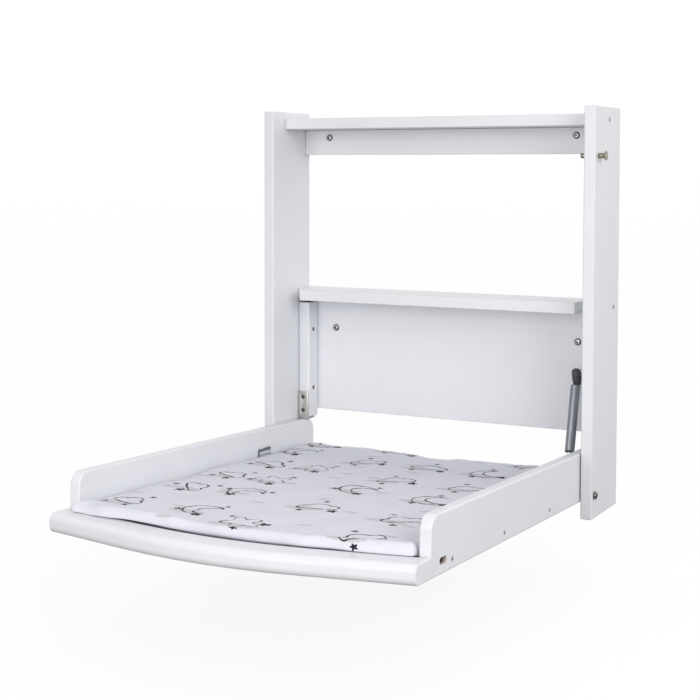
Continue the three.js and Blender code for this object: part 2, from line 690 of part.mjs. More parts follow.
// A ball on a neck, drawn from the ball's far side to the end of the neck
const ballProfile = (neck, end) => [
  [0, -BALL_RADIUS],
  ...arc(BALL_RADIUS, -75, 55),
  [neck, Math.sqrt(BALL_RADIUS ** 2 - neck ** 2) + 0.5],
  [neck, end],
  [0, end],
];
const NECK = 2.6;
const STUD_FLANGE = 6;
const STUD_FLANGE_THICKNESS = 4.5;
const STUD_IN_BOARD = 12;

const studHole = () => {
  const at = strutTop.clone().setX(POST_INNER);
  return rod(NECK + SEAM, -1, STUD_IN_BOARD + SEAM, at, AXIS.x, SCREW_SIDES);
};

const mountHole = () => {
  const at = new THREE.Vector3(TRAY_INNER, STRUT_FOOT_BACK, STRUT_FOOT_UP);
  return rod(NECK + SEAM, -1, STUD_IN_BOARD + SEAM, at, AXIS.x, SCREW_SIDES);
};

// A barrel round the ball, open on the side that the neck leaves by
function socketGeometry(direction) {
  const barrel = [
    [0, -SOCKET_ABOVE],
    [SOCKET_RADIUS * 0.7, -SOCKET_ABOVE],
    [SOCKET_RADIUS, -SOCKET_ABOVE * 0.45],
    [SOCKET_RADIUS, SOCKET_BELOW * 0.5],
    [SOCKET_RADIUS * 0.75, SOCKET_BELOW - SEAM],
    [0, SOCKET_BELOW - SEAM],
  ];
  const mouth = SOCKET_RADIUS + 1;
  const seat = arc(BALL_RADIUS + SEAM, -75, 40);
  const hollow = turned([[0, -BALL_RADIUS - SEAM], ...seat, [NECK * 1.6, mouth], [0, mouth]], CENTRE, AXIS.x);
  return cut(turned(barrel, CENTRE, direction), [hollow]);
}

function addStrut() {
  const bore = TUBE_RADIUS - TUBE_WALL;
  add(strut, "strut_upper_socket", DARK_PLASTIC, socketGeometry(AXIS.down));
  const shell = [
    [0, TUBE_TOP],
    [TUBE_RADIUS, TUBE_TOP],
    [TUBE_RADIUS, TUBE_END],
    [bore, TUBE_END],
    [bore, TUBE_TOP + TUBE_WALL * 2],
    [0, TUBE_TOP + TUBE_WALL * 2],
  ];
  add(strut, "strut_cylinder", GREY_TUBE, turned(shell, CENTRE, AXIS.down));
  const inside = bore - SEAM;
  const mouth = ROD_RADIUS + RUNNING_GAP;
  const gland = [
    [mouth, TUBE_END - GLAND_LENGTH],
    [inside, TUBE_END - GLAND_LENGTH],
    [inside, TUBE_END + SEAM],
    [TUBE_RADIUS, TUBE_END + SEAM],
    [TUBE_RADIUS * 0.85, TUBE_END + GLAND_COLLAR],
    [mouth, TUBE_END + GLAND_COLLAR],
    [mouth, TUBE_END - GLAND_LENGTH],
  ];
  add(strut, "strut_gland", DARK_PLASTIC, turned(gland, CENTRE, AXIS.down));
  const rodEnd = STRUT_LENGTH - SOCKET_BELOW;
  const pistonEnd = ROD_TOP + PISTON_LENGTH;
  add(strut, "strut_piston", DARK_PLASTIC, rod(bore - RUNNING_GAP, ROD_TOP, pistonEnd, CENTRE, AXIS.down));
  add(strut, "strut_rod", CHROME, rod(ROD_RADIUS, pistonEnd + SEAM, rodEnd, CENTRE, AXIS.down));
  const foot = new THREE.Vector3(0, 0, -STRUT_LENGTH);
  add(strut, "strut_lower_socket", DARK_PLASTIC, socketGeometry(AXIS.up).translate(foot.x, foot.y, foot.z));
  const neckEnd = SOCKET_RADIUS + 2;
  add(strut, "strut_lower_ball", STEEL, turned(ballProfile(NECK, neckEnd), foot, AXIS.x));
  const stud = ballProfile(NECK, STRUT_FROM_POST + STUD_IN_BOARD);
  const flangeEnd = STRUT_FROM_POST - SEAM;
  stud.splice(
    -2,
    0,
    [NECK, flangeEnd - STUD_FLANGE_THICKNESS],
    [STUD_FLANGE, flangeEnd - STUD_FLANGE_THICKNESS],
    [STUD_FLANGE, flangeEnd],
    [NECK, flangeEnd],
  );
  add(station, "strut_upper_stud", STEEL, turned(stud, strutTop, AXIS.x));
  const boss = TRAY_INNER - STRUT_X - neckEnd - 2 * SEAM;
  const mount = [
    [0, -STUD_IN_BOARD],
    [NECK, -STUD_IN_BOARD],
    [NECK, SEAM],
    [STUD_FLANGE * 1.4, SEAM],
    [STUD_FLANGE * 1.4, boss * 0.35],
    [STUD_FLANGE, boss * 0.35],
    [STUD_FLANGE, boss],
    [0, boss],
  ];
  const at = new THREE.Vector3(TRAY_INNER, STRUT_FOOT_BACK, STRUT_FOOT_UP);
  add(tray, "strut_lower_mount", STEEL, turned(mount, at, AXIS.left));
}

// Lock pin, loose in the right upright
function addLockPin() {
  const tip = LOCK_PLACE.clone().setX(INNER - PIN_INSIDE);
  const end = PIN_LENGTH + PIN_HEAD_HEIGHT;
  const pin = [
    [0, 0],
    [PIN_RADIUS * 0.7, 0],
    [PIN_RADIUS, PIN_RADIUS * 0.3],
    [PIN_RADIUS, PIN_LENGTH],
    [PIN_HEAD_RADIUS, end - PIN_RIM],
    [PIN_HEAD_RADIUS - PIN_RIM / 2, end],
    [0, end],
  ];
  add(station, "lock_pin", STEEL, turned(pin, tip, AXIS.x));
}

for (const [name, side] of SIDES) {
  addUpright(name, side);
  addPost(name, side);
  addFrameScrews(name, side);
  addTraySide(name, side);
  addPivot(name, side);
}
addShelves();
addBackBoards();
addFloor();
addLip();
addMat();
addStrut();
addLockPin();

export default station;
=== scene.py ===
"""Looks of the wall-mounted folding changing station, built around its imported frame. Metres, +Z up, wall at y = 0."""
import math

import bmesh
import bpy
import numpy as np
from mathutils import Matrix, Vector


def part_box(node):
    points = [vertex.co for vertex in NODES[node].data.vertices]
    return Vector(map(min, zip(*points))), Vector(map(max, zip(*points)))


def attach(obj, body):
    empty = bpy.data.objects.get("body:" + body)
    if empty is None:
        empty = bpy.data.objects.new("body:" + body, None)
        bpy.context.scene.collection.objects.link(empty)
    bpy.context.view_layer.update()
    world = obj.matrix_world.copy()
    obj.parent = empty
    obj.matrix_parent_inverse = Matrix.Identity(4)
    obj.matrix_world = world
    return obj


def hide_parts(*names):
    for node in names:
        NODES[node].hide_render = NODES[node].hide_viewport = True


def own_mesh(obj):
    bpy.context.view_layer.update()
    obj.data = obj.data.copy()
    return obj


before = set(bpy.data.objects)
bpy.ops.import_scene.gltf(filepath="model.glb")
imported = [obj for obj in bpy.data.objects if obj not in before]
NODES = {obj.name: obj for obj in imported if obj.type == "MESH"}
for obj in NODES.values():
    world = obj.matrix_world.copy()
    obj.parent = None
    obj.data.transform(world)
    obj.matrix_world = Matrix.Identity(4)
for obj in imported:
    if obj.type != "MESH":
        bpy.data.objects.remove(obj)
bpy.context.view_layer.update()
MM = 0.001

# Camera, from the photograph: degrees, metres and pixels of a 700 pixel frame
CAMERA_AZIMUTH = 27.651
CAMERA_ELEVATION = 3.027
CAMERA_ROLL = 0.106
CAMERA_PLACE = (0.9504, -2.1747, -0.0456)
FOCAL_PIXELS = 1431.85
FRAME_PIXELS = 700
SENSOR = 36.0
SHIFT_Y = -0.15

# Frame of the tray
PIVOT = Vector((0, -0.112, -0.5357))
PITCH = math.radians(2.2)
TRAY_FORWARD = Vector((0, -math.cos(PITCH), math.sin(PITCH)))
TRAY_UP = Vector((0, math.sin(PITCH), math.cos(PITCH)))
FLOOR_HEIGHT = 8 * MM  # tray floor above the pivot axis
LIP_HEIGHT = 14 * MM  # lip's top above the pivot axis

# Gas strut, along its own axis from the upper ball
STRUT_TOP = Vector((0.2297, -0.0329, -0.3667))
STRUT_DOWN = Vector((0, -0.245621, -0.969366))
STRUT_LENGTH = 156.339 * MM
TUBE_END = 119  # millimetres from the upper ball

X_AXIS = Vector((1, 0, 0))
FRONT = Vector((0, -1, 0))
SIDES = (("left", -1), ("right", 1))


# Meshes

def clear_of_axis(radius):
    return radius > 1e-7


def filleted(points, radius, steps=4):
    """The polyline with each inner corner rounded off."""
    corners = [Vector(p) for p in points]
    out = [corners[0]]
    for before, at, after in zip(corners, corners[1:], corners[2:]):
        into, away = before - at, after - at
        reach = min(radius, into.length * 0.49, away.length * 0.49)
        start, end = at + into.normalized() * reach, at + away.normalized() * reach
        for step in range(steps + 1):
            t = step / steps
            out.append(start * (1 - t) ** 2 + at * 2 * t * (1 - t) + end * t * t)
    return [tuple(p) for p in out + [corners[-1]]]


def lathe(name, profile, segments=48, closed=False):
    """A turned solid about Z, from a profile of (radius, height) that runs from low to high."""
    bm = bmesh.new()
    rings = []
    for radius, height in profile:
        if not clear_of_axis(radius):
            rings.append([bm.verts.new((0, 0, height))])
            continue
        turns = [2 * math.pi * k / segments for k in range(segments)]
        rings.append([bm.verts.new((radius * math.cos(a), radius * math.sin(a), height)) for a in turns])
    pairs = list(zip(rings, rings[1:]))
    if closed:
        pairs.append((rings[-1], rings[0]))
    for low, high in pairs:
        for k in range(segments):
            after = (k + 1) % segments
            corners = [low[k % len(low)], low[after % len(low)], high[after % len(high)], high[k % len(high)]]
            corners = list(dict.fromkeys(corners))
            if len(corners) > 2:
                bm.faces.new(corners)
    bmesh.ops.recalc_face_normals(bm, faces=bm.faces)
    mesh = bpy.data.meshes.new(name)
    bm.to_mesh(mesh)
    bm.free()
    return mesh


def prism(name, outline, low, high, taper=1.0):
    """A prism about Z over an outline, whose low end is scaled by taper."""
    bm = bmesh.new()
    bottom = [bm.verts.new((x * taper, y * taper, low)) for x, y in outline]
    top = [bm.verts.new((x, y, high)) for x, y in outline]
    bm.faces.new(top)
    bm.faces.new(bottom[::-1])
    for k in range(len(outline)):
        after = (k + 1) % len(outline)
        bm.faces.new((bottom[k], bottom[after], top[after], top[k]))
    bmesh.ops.recalc_face_normals(bm, faces=bm.faces)
    mesh = bpy.data.meshes.new(name)
    bm.to_mesh(mesh)
    bm.free()
    return mesh


def carved(mesh, tool):
    """The first mesh with the second one cut out of it."""
    body = bpy.data.objects.new("carve_body", mesh)
    cutter = bpy.data.objects.new("carve_tool", tool)
    for obj in (body, cutter):
        bpy.context.scene.collection.objects.link(obj)
    cut = body.modifiers.new("cut", "BOOLEAN")
    cut.object = cutter
    cut.operation = "DIFFERENCE"
    cut.solver = "EXACT"
    bpy.context.view_layer.update()
    evaluated = body.evaluated_get(bpy.context.evaluated_depsgraph_get())
    result = bpy.data.meshes.new_from_object(evaluated)
    for obj in (body, cutter):
        bpy.data.objects.remove(obj)
    return result


def smooth_shaded(mesh, angle=35):
    mesh.polygons.foreach_set("use_smooth", [True] * len(mesh.polygons))
    mesh.set_sharp_from_angle(angle=math.radians(angle))
    return mesh


def aimed(at, direction):
    """A matrix that carries +Z to a direction and the origin to a point."""
    return Matrix.Translation(at) @ Vector(direction).to_track_quat("Z", "Y").to_matrix().to_4x4()


def piece(name, mesh, body, material, replaces=()):
    obj = bpy.data.objects.new(name, mesh)
    bpy.context.scene.collection.objects.link(obj)
    for one in material if isinstance(material, tuple) else (material,):
        mesh.materials.append(one)
    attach(obj, body)
    if replaces:
        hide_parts(*replaces)
    return obj


# Materials

class Graph:
    """Short names for the nodes of one material."""

    def __init__(self, name):
        self.material = bpy.data.materials.new(name)
        self.material.use_nodes = True
        self.tree = self.material.node_tree
        self.shader = self.tree.nodes["Principled BSDF"]

    def node(self, kind, **inputs):
        made = self.tree.nodes.new("ShaderNode" + kind)
        for key, value in inputs.items():
            self.put(made.inputs[key.replace("_", " ")], value)
        return made

    def put(self, socket, value):
        if isinstance(value, bpy.types.NodeSocket):
            self.tree.links.new(value, socket)
        else:
            socket.default_value = value

    def set(self, **inputs):
        for key, value in inputs.items():
            self.put(self.shader.inputs[key.replace("_", " ")], value)

    def math(self, operation, first, second=None, third=None, clamp=False):
        made = self.tree.nodes.new("ShaderNodeMath")
        made.operation = operation
        made.use_clamp = clamp
        for socket, value in zip(made.inputs, (first, second, third)):
            if value is not None:
                self.put(socket, value)
        return made.outputs[0]

    def vector(self, operation, first, second=None, scale=None):
        made = self.tree.nodes.new("ShaderNodeVectorMath")
        made.operation = operation
        self.put(made.inputs[0], first)
        if second is not None:
            self.put(made.inputs[1], second)
        if scale is not None:
            self.put(made.inputs["Scale"], scale)
        return made.outputs["Value"] if operation in ("LENGTH", "DISTANCE", "DOT_PRODUCT") else made.outputs[0]

    def mix(self, factor, first, second):
        made = self.tree.nodes.new("ShaderNodeMix")
        made.data_type = "RGBA"
        self.put(made.inputs["Factor"], factor)
        for socket, value in ((made.inputs[6], first), (made.inputs[7], second)):
            self.put(socket, (*value, 1) if isinstance(value, tuple) else value)
        return made.outputs[2]

    def remap(self, value, low, high, to_low, to_high):
        made = self.node("MapRange", Value=value, From_Min=low, From_Max=high, To_Min=to_low, To_Max=to_high)
        return made.outputs[0]

    def place(self):
        return self.node("TexCoord").outputs["Object"]

    def noise(self, scale, detail=2.0, rough=0.5, place=None):
        made = self.node("TexNoise", Vector=place or self.place(), Scale=scale, Detail=detail, Roughness=rough)
        return made.outputs[0]

    def bump(self, height, distance, strength=1.0, normal=None):
        made = self.node("Bump", Height=height, Distance=distance, Strength=strength)
        if normal is not None:
            self.put(made.inputs["Normal"], normal)
        return made.outputs[0]


def lacquer():
    """Satin white lacquer on board: orange peel, a faint roller texture and a little unevenness of tone."""
    g = Graph("white_lacquer")
    tone = g.remap(g.noise(9.0, 4.0), 0.3, 0.7, 0.0, 1.0)
    g.set(Base_Color=g.mix(tone, (0.766, 0.774, 0.802), (0.790, 0.797, 0.822)))
    g.set(Roughness=g.remap(g.noise(160.0, 3.0), 0.3, 0.7, 0.30, 0.38))
    peel = g.bump(g.noise(420.0, 2.0), 0.00006, 0.35)
    g.set(Normal=g.bump(g.noise(38.0, 3.0), 0.0004, 0.04, peel))
    g.set(Specular_IOR_Level=0.25, Coat_Weight=0.05, Coat_Roughness=0.2)
    return g.material


def bare_board(name, dark, light):
    """Raw wood or pressed board, where a cut goes through the lacquer."""
    g = Graph(name)
    fibre = g.noise(900.0, 5.0, 0.7)
    g.set(Base_Color=g.mix(fibre, dark, light), Roughness=0.9)
    g.set(Normal=g.bump(fibre, 0.0002, 0.6))
    return g.material


def bore_painted_shading(face):
    """Pressed board on the wall of a hole along X, with painted light at its mouth, where x is face, and painted shade
    deeper in.
    """
    g = Graph("bore_painted_shading")
    parts = g.node("SeparateXYZ", Vector=g.place())
    fibre = g.noise(900.0, 5.0, 0.7)
    depth = g.math("ADD", parts.outputs["X"], g.math("MULTIPLY", fibre, 0.8 * MM))
    painted_light_share = g.remap(depth, face - 5.4 * MM, face - 1.6 * MM, 0.0, 1.0)
    # Painted shade: near black deep in the hole; painted light: pale pink at its mouth.
    g.set(Base_Color=g.mix(painted_light_share, (0.09, 0.065, 0.055), (0.70, 0.60, 0.55)), Roughness=0.9)
    g.set(Normal=g.bump(fibre, 0.0002, 0.6))
    return g.material


def metal(name, dark, light, rough, stretch=(1, 1, 1), scale=400.0, metallic=1.0):
    """Metal with fine drawn lines and a little unevenness."""
    g = Graph(name)
    lines = g.noise(scale, 4.0, 0.6, g.vector("MULTIPLY", g.place(), stretch))
    g.set(Base_Color=g.mix(g.noise(120.0, 3.0), dark, light), Metallic=metallic)
    g.set(Roughness=g.remap(lines, 0.3, 0.7, rough - 0.06, rough + 0.08))
    g.set(Normal=g.bump(lines, 0.00002, 0.4))
    return g.material


def plastic(name, dark, light, rough):
    """Moulded plastic with a fine spark-eroded grain."""
    g = Graph(name)
    grain = g.noise(1800.0, 2.0, 0.6)
    g.set(Base_Color=g.mix(g.noise(90.0, 3.0), dark, light))
    g.set(Roughness=g.remap(grain, 0.3, 0.7, rough - 0.06, rough + 0.08))
    g.set(Normal=g.bump(grain, 0.00004, 0.5))
    return g.material


LACQUER = lacquer()
BARE_BOARD = bare_board("bare_board", (0.44, 0.34, 0.29), (0.62, 0.52, 0.46))
# Near-black raw end grain: painted shade standing in for the dark gap above the posts.
END_GRAIN_PAINTED_SHADE = bare_board("end_grain_painted_shade", (0.045, 0.035, 0.03), (0.09, 0.07, 0.055))
STEEL = metal("turned_steel", (0.34, 0.34, 0.34), (0.46, 0.45, 0.44), 0.33, (1, 1, 6))
# Dark steel for the pivot bolts, made darker as painted shade of their heads.
DARK_STEEL_PAINTED_SHADE = metal("dark_steel_painted_shade", (0.16, 0.155, 0.15), (0.30, 0.29, 0.28), 0.3, (1, 1, 6))
ZINC = metal("zinc_plate", (0.50, 0.51, 0.475), (0.62, 0.625, 0.595), 0.46, (1, 1, 0.3))
# Screw heads lacquered over, greyer than the board lacquer as painted shade, so they read as faint marks.
HEAD_LACQUER_PAINTED_SHADE = plastic("head_lacquer_painted_shade", (0.46, 0.46, 0.47), (0.56, 0.56, 0.575), 0.45)
DARK_ZINC = metal("dark_zinc", (0.10, 0.10, 0.10), (0.19, 0.185, 0.18), 0.38)
BRONZE = metal("warm_steel", (0.22, 0.198, 0.165), (0.40, 0.365, 0.31), 0.28, (6, 1, 1))
# Near black: painted shade inside cross recesses.
RECESS_PAINTED_SHADE = metal("recess_painted_shade", (0.012, 0.012, 0.012), (0.03, 0.029, 0.028), 0.6)
CHROME = metal("hard_chrome", (0.62, 0.62, 0.64), (0.72, 0.72, 0.74), 0.12)
TUBE = metal("grey_tube", (0.30, 0.32, 0.35), (0.36, 0.38, 0.41), 0.48, (1, 1, 0.2))
CHARCOAL = plastic("charcoal_plastic", (0.052, 0.056, 0.058), (0.078, 0.083, 0.084), 0.42)


# Boards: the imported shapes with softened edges

def in_bore(verts, at, radius):
    """Whether points are all within a hole along X."""
    return all((v.co - at).yz.length < radius for v in verts)


def softened(node, width, segments, least, crisp=None):
    """A copy of a packed board whose outer edges are rounded off, without the shorter edges round its holes."""
    bm = bmesh.new()
    bm.from_mesh(NODES[node].data)
    bmesh.ops.remove_doubles(bm, verts=bm.verts, dist=1e-5)
    bmesh.ops.dissolve_limit(bm, angle_limit=math.radians(1), verts=bm.verts, edges=bm.edges)
    sharp = [e for e in bm.edges if len(e.link_faces) == 2 and e.calc_face_angle(0) > math.radians(40)]
    outer = [e for e in sharp if e.calc_length() > least and not (crisp and in_bore(e.verts, *crisp))]
    bmesh.ops.bevel(bm, geom=outer, offset=width, offset_type="OFFSET", segments=segments, profile=0.5,
                    affect="EDGES", clamp_overlap=False, miter_outer="ARC")
    mesh = bpy.data.meshes.new(node + "_softened")
    bm.to_mesh(mesh)
    bm.free()
    return mesh


def add_board(node, body, crisp=None, width=1.4 * MM, segments=3, least=3.2 * MM):
    mesh = smooth_shaded(softened(node, width, segments, least, crisp), 32)
    obj = piece(node + "_board", mesh, body, (LACQUER, BARE_BOARD), (node,))
    even = obj.modifiers.new("even_normals", "WEIGHTED_NORMAL")
    even.keep_sharp = True
    return obj


def bare_holes(obj, at, radius):
    """Shows raw board on the wall of a hole along X."""
    for face in obj.data.polygons:
        away = (face.center - at).yz.length
        if away < radius and abs(face.normal.x) < 0.5:
            face.material_index = 1


def add_post(node):
    """A well rounded post whose top, under the shelf, is raw end grain darkened near to black as painted shade of the
    gap there.
    """
    obj = add_board(node, "wall_frame", width=3.2 * MM, segments=5)
    obj.data.materials[1] = END_GRAIN_PAINTED_SHADE
    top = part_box(node)[1].z
    # The post's top face takes the near-black painted shade.
    for face in obj.data.polygons:
        if face.normal.z > 0.9 and face.center.z > top - 1 * MM:
            face.material_index = 1


TRAY_SIDE_ROUND = (2.4 * MM, 4, 2.2 * MM)  # width, steps and the shortest edge that is rounded

for node in ("left_upright", "right_upright"):
    add_board(node, "wall_frame", width=2.2 * MM, segments=4)
for node in ("top_shelf", "top_rail", "mid_shelf", "back_panel"):
    add_board(node, "wall_frame")
for node in ("left_post", "right_post"):
    add_post(node)
add_board("tray_floor", "tray")
add_board("front_lip", "tray", least=1.45 * MM)
add_board("left_tray_side", "tray", None, *TRAY_SIDE_ROUND)
LOCK_SLOT = (PIVOT + TRAY_FORWARD * 0.517 + TRAY_UP * 0.0045, 10.8 * MM)
lock_side = add_board("right_tray_side", "tray", LOCK_SLOT, *TRAY_SIDE_ROUND)
# The lock slot's wall gets painted shade deep in and painted light at its mouth.
lock_side.data.materials[1] = bore_painted_shading(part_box("right_tray_side")[1].x)
bare_holes(lock_side, *LOCK_SLOT)


# Screws

CROSS_REACH = 0.66  # of the head's radius
CROSS_WIDTH = 0.3  # of its reach


def cross_outline(a):
    w = CROSS_WIDTH * a
    arm = [(w, w), (w, a), (-w, a)]
    turns = [Matrix.Rotation(math.pi / 2 * k, 2) for k in range(4)]
    return [tuple(turn @ Vector(p)) for turn in turns for p in arm]


def screw_mesh(head, sink, shank, length):
    """A countersunk screw with a cross recess, its head at the origin, facing +Z."""
    profile = [(0, -length), (shank * 0.3, -length + shank * 0.6), (shank, -length + shank * 1.6), (shank, -sink),
               (head * 0.97, -0.25 * MM), (head, -0.1 * MM), (head * 0.95, 0), (0, 0.12 * MM)]
    reach = head * CROSS_REACH
    mesh = carved(lathe("screw", profile, 32), prism("cross", cross_outline(reach), -sink * 0.8, 1 * MM, 0.45))
    # Recess faces take the second material, near-black painted shade on the shelf, side and wall screws.
    for face in mesh.polygons:
        hollow = -sink * 0.85 < face.center.z < -0.005 * MM and face.center.xy.length < reach * 1.01
        face.material_index = 1 if hollow else 0
    return mesh


def head_place(node, facing):
    """The middle of a packed screw's head."""
    points = np.array([v.co for v in NODES[node].data.vertices])
    along = points @ np.array(facing)
    return Vector(points[along > along.max() - 2e-5].mean(axis=0))


def add_screw(node, body, facing, size, material, turn=0.0, recess=DARK_ZINC):
    mesh = screw_mesh(*(x * MM for x in size))
    mesh.transform(aimed(head_place(node, facing), facing) @ Matrix.Rotation(turn, 4, "Z"))
    piece(node + "_cross", smooth_shaded(mesh, 30), body, (material, recess), (node,))


def add_screws():
    for number, (name, side) in enumerate(SIDES):
        out = X_AXIS * side
        for k, shelf in enumerate(("top", "mid")):
            add_screw(f"{name}_{shelf}_shelf_screw", "wall_frame", out, (4, 3, 2.5, 48), HEAD_LACQUER_PAINTED_SHADE, turn=0.4 + k + number, recess=RECESS_PAINTED_SHADE)
        for k in (1, 2):
            add_screw(f"{name}_post_screw_{k}", "wall_frame", -out, (3.5, 2.5, 2, 33), DARK_ZINC, turn=0.7 * k)
            add_screw(f"{name}_plate_screw_{k}", "wall_frame", FRONT, (3.5, 1.8, 2, 22), DARK_ZINC, turn=0.5 * k)
        for k in (1, 2, 3):
            add_screw(f"{name}_side_screw_{k}", "tray", out, (3.5, 2.5, 2.2, 42), HEAD_LACQUER_PAINTED_SHADE, turn=0.9 * k + number, recess=RECESS_PAINTED_SHADE)
        NODES[f"{name}_lip_dowel"].data.materials.clear()
        NODES[f"{name}_lip_dowel"].data.materials.append(BARE_BOARD)
        for board, length in (("rail", 18.9), ("panel", 10.9)):
            node = f"{name}_{board}_wall_screw"
            add_screw(node, "wall_frame", FRONT, (4, 2.5, 2.5, length), STEEL, 0.6 + number, RECESS_PAINTED_SHADE)
            add_cup_washer(node + "_washer")


def add_cup_washer(node):
    """A turned cup washer: rolled rim, dished seat for the screw's head."""
    low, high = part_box(node)
    at = Vector(((low.x + high.x) / 2, high.y, (low.z + high.z) / 2))
    outer, tall = (high.x - low.x) / 2, high.y - low.y
    ring = [(2.8 * MM, 0), (outer * 0.98, 0), (outer, 0.3 * MM), (outer * 0.96, tall * 0.6), (outer * 0.84, tall * 0.94),
            (outer * 0.74, tall), (4.35 * MM, tall * 0.97), (2.8 * MM, tall - 2.5 * MM)]
    mesh = lathe(node, filleted(ring, 0.3 * MM, 3), 40, closed=True)
    mesh.transform(aimed(at, FRONT))
    piece(node + "_cup", smooth_shaded(mesh, 40), "wall_frame", DARK_ZINC, (node,))


add_screws()


# Stop plates

for name, side in SIDES:
    node = name + "_stop_plate"
    plate = smooth_shaded(softened(node, 0.5 * MM, 2, 1 * MM), 40)
    piece(node + "_bent", plate, "wall_frame", ZINC, (node,))


# Pivots

def hexagon(radius):
    return [(radius * math.cos(math.pi * k / 3), radius * math.sin(math.pi * k / 3)) for k in range(6)]


def add_pivot(name, side):
    out = X_AXIS * side
    low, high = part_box(name + "_pivot_bolt")
    end = high.x if side > 0 else -low.x
    reach = high.x - low.x
    head = [(0, -reach), (3.4 * MM, -reach), (4 * MM, 0.6 * MM - reach), (4 * MM, -4 * MM), (5.8 * MM, -4 * MM),
            (5.8 * MM, -1.6 * MM), (4.8 * MM, -0.3 * MM), (3.9 * MM, 0), (0, 0)]
    key = prism("key", hexagon(3 * MM), -2.6 * MM, 1 * MM)
    bolt = carved(lathe("bolt", filleted(head, 0.5 * MM), 48), key)
    bolt.transform(aimed(Vector((side * end, PIVOT.y, PIVOT.z)), out))
    node = name + "_pivot_bolt"
    piece(node + "_turned", smooth_shaded(bolt, 30), "tray", DARK_STEEL_PAINTED_SHADE, (node,))
    bush = [(4.3 * MM, 0), (6 * MM, 0), (6 * MM, 18 * MM), (4.3 * MM, 18 * MM)]
    add_ring(name + "_pivot_bush", "wall_frame", bush, Vector((side * 0.286, PIVOT.y, PIVOT.z)), -out, CHARCOAL)
    washer = [(4.3 * MM, 0.3 * MM), (9 * MM, 0.3 * MM), (9 * MM, 1.3 * MM), (4.3 * MM, 1.3 * MM)]
    add_ring(name + "_pivot_washer", "tray", washer, Vector((side * 0.2664, PIVOT.y, PIVOT.z)), out, DARK_ZINC)


def add_ring(node, body, ring, at, direction, material):
    mesh = lathe(node, ring, 48, closed=True)
    mesh.transform(aimed(at, direction))
    piece(node + "_ring", smooth_shaded(mesh, 30), body, material, (node,))


for name, side in SIDES:
    add_pivot(name, side)


# Gas strut

STRUT = aimed(STRUT_TOP, -STRUT_DOWN)


def strut_piece(node, body, profile, material, closed=False, round_off=0.5):
    """A turned piece of the strut: profile of (radius, distance below the upper ball) in millimetres, upwards."""
    points = [(radius * MM, -below * MM) for radius, below in profile]
    mesh = lathe(node, filleted(points, round_off * MM), 56, closed)
    mesh.transform(STRUT)
    return piece(node + "_turned", smooth_shaded(mesh, 30), body, material, (node,))


def ball_profile(neck_start):
    ring = [(5 * math.cos(a), 5 * math.sin(a)) for a in (math.radians(-90 + 12 * k) for k in range(13))]
    return [p for p in ring if p[1] < 0 or p[0] > neck_start]


def socket_mesh(name, up):
    """A moulded barrel round the ball, with a spring clip groove, open where the neck leaves it."""
    barrel = [(0, -9.4), (4.2, -9.4), (6.3, -7.8), (7.3, -4.6), (7.4, 3.2), (6.9, 3.6), (6.9, 4.8), (7.4, 5.2), (7.2, 9),
              (6.5, 12.6), (6.3, 15.9), (0, 15.9)]
    body = lathe(name, filleted([(r * MM, h * MM) for r, h in barrel], 0.5 * MM), 56)
    body.transform(aimed(Vector(), (0, 0, up)))
    ball = ball_profile(3.3)
    hollow = [(0, -5.3)] + [(r * 1.06, h * 1.06) for r, h in ball[1:]] + [(3.3, 4.2), (3.3, 9), (0, 9)]
    tool = lathe("hollow", [(r * MM, h * MM) for r, h in hollow], 40)
    tool.transform(aimed(Vector(), X_AXIS))
    return carved(body, tool)


def add_strut():
    foot = STRUT_TOP + STRUT_DOWN * STRUT_LENGTH
    for node, body, at, up in (("strut_upper_socket", "strut_cylinder", STRUT_TOP, -1),
                               ("strut_lower_socket", "strut_rod", foot, 1)):
        mesh = socket_mesh(node, up)
        turn = Matrix.Rotation(math.atan2(STRUT_DOWN.y, STRUT_DOWN.z) - math.pi, 4, "X")
        mesh.transform(Matrix.Translation(at) @ turn)
        piece(node + "_barrel", smooth_shaded(mesh, 30), body, CHARCOAL, (node,))
    tube = [(0, 18), (6.5, 18), (6.5, TUBE_END), (7.1, TUBE_END), (7.5, TUBE_END - 1), (7.5, 24), (7.2, 23.4),
            (7.2, 21.8), (7.5, 21.2), (7.5, 17.5), (6.2, 16), (0, 16)]
    strut_piece("strut_cylinder", "strut_cylinder", tube, TUBE, round_off=0.4)
    gland = [(3.3, 3), (6.6, 3), (7.4, 2), (7.4, 0.3), (6.2, 0.3), (6.2, -9), (3.3, -9)]
    gland = [(radius, TUBE_END + beyond) for radius, beyond in gland]
    strut_piece("strut_gland", "strut_cylinder", gland, CHARCOAL, closed=True, round_off=0.3)
    rod = [(0, 142.2), (3, 142.2), (3, 32.3), (0, 32.3)]
    strut_piece("strut_rod", "strut_rod", rod, CHROME, round_off=0.2)
    piston = [(0, 32), (5.8, 32), (6.2, 31.4), (6.2, 29), (5.6, 28.6), (5.6, 27.4), (6.2, 27), (6.2, 24.6), (5.8, 24), (0, 24)]
    strut_piece("strut_piston", "strut_rod", piston, CHARCOAL, round_off=0.2)
    add_studs(foot)


